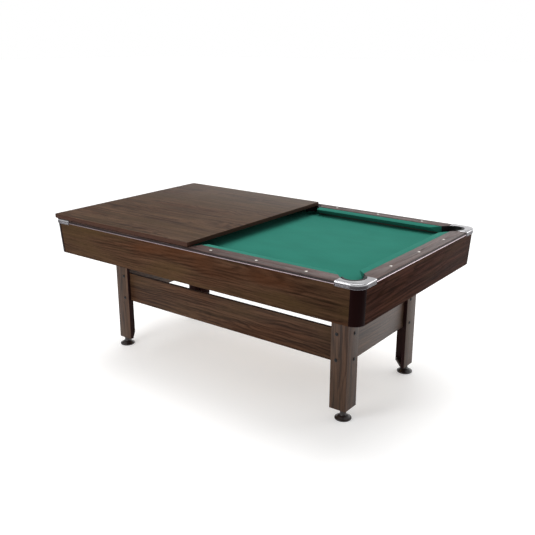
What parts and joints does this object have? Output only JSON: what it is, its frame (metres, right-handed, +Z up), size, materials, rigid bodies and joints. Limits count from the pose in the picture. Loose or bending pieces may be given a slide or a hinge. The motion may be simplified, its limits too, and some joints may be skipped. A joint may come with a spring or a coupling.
{
  "type": "pool table",
  "caption": "Home pool table with leaning walnut-laminate aprons, corner castings, angle legs, stretchers, levelling feet and a lift-off half cover panel.",
  "frame": {"origin": "centre of the overall box at floor level, under the table's middle", "axes": "+X along the table's length to the right, +Y across it to the far side, +Z up"},
  "size_m": [2.032, 1.252, 0.846],
  "materials": {
    "bed_mdf": "raw fibreboard",
    "bed_cloth": "green playing cloth",
    "beam_wood": "plain softwood",
    "apron_laminate": "dark walnut laminate, satin",
    "corner_plastic": "dark brown, glossy",
    "trim_metal": "bright extruded strip",
    "rail_laminate": "dark walnut laminate, satin",
    "cushion_cloth": "green playing cloth over rubber",
    "casting_chrome": "polished chrome",
    "pocket_plastic": "black, matt",
    "screw_steel": "plated screw heads",
    "sight_inlay": "pearl inlay",
    "leg_laminate": "dark walnut laminate, satin",
    "base_block": "dark edge",
    "stretcher_laminate": "dark walnut laminate, satin",
    "bolt_black": "black oxide",
    "foot_plastic": "dark brown-black, glossy",
    "cover_laminate": "dark walnut laminate, satin",
    "pad_felt": "dark felt"
  },
  "bodies": {
    "table": {"bed_board": "bed_mdf", "bed_cloth": "bed_cloth", "beam_left": "beam_wood", "beam_right": "beam_wood", "apron_near": "apron_laminate", "apron_far": "apron_laminate", "apron_left": "apron_laminate", "apron_right": "apron_laminate", "post_near_left": "corner_plastic", "post_near_right": "corner_plastic", "post_far_left": "corner_plastic", "post_far_right": "corner_plastic", "trim_near": "trim_metal", "trim_far": "trim_metal", "trim_left": "trim_metal", "trim_right": "trim_metal", "rail_near_left": "rail_laminate", "rail_near_right": "rail_laminate", "rail_far_left": "rail_laminate", "rail_far_right": "rail_laminate", "rail_left": "rail_laminate", "rail_right": "rail_laminate", "cushion_near_left": "cushion_cloth", "cushion_near_right": "cushion_cloth", "cushion_far_left": "cushion_cloth", "cushion_far_right": "cushion_cloth", "cushion_left": "cushion_cloth", "cushion_right": "cushion_cloth", "casting_near_left": "casting_chrome", "casting_near_right": "casting_chrome", "casting_far_left": "casting_chrome", "casting_far_right": "casting_chrome", "liner_near_left": "pocket_plastic", "liner_near_right": "pocket_plastic", "liner_far_left": "pocket_plastic", "liner_far_right": "pocket_plastic", "liner_near_side": "pocket_plastic", "liner_far_side": "pocket_plastic", "liner_screws": "screw_steel", "sights": "sight_inlay", "leg_near_left": "leg_laminate", "leg_near_right": "leg_laminate", "leg_far_left": "leg_laminate", "leg_far_right": "leg_laminate", "base_near_left": "base_block", "base_near_right": "base_block", "base_far_left": "base_block", "base_far_right": "base_block", "stretcher_near": "stretcher_laminate", "stretcher_far": "stretcher_laminate", "stretcher_left": "stretcher_laminate", "stretcher_right": "stretcher_laminate", "leg_bolts": "bolt_black"},
    "cover": {"cover_panel": "cover_laminate", "cover_pads": "pad_felt"},
    "foot_near_left": {"foot_near_left": "foot_plastic"},
    "foot_near_right": {"foot_near_right": "foot_plastic"},
    "foot_far_left": {"foot_far_left": "foot_plastic"},
    "foot_far_right": {"foot_far_right": "foot_plastic"}
  },
  "joints": [
    {"name": "cover_lift", "type": "slide", "parent": "table", "child": "cover", "axis": [0, 0, 1], "range_m": [0, 0.15]},
    {"name": "level_near_left", "type": "slide", "parent": "table", "child": "foot_near_left", "axis": [0, 0, -1], "range_m": [0, 0.02]},
    {"name": "level_near_right", "type": "slide", "parent": "table", "child": "foot_near_right", "axis": [0, 0, -1], "range_m": [0, 0.02]},
    {"name": "level_far_left", "type": "slide", "parent": "table", "child": "foot_far_left", "axis": [0, 0, -1], "range_m": [0, 0.02]},
    {"name": "level_far_right", "type": "slide", "parent": "table", "child": "foot_far_right", "axis": [0, 0, -1], "range_m": [0, 0.02]}
  ]
}
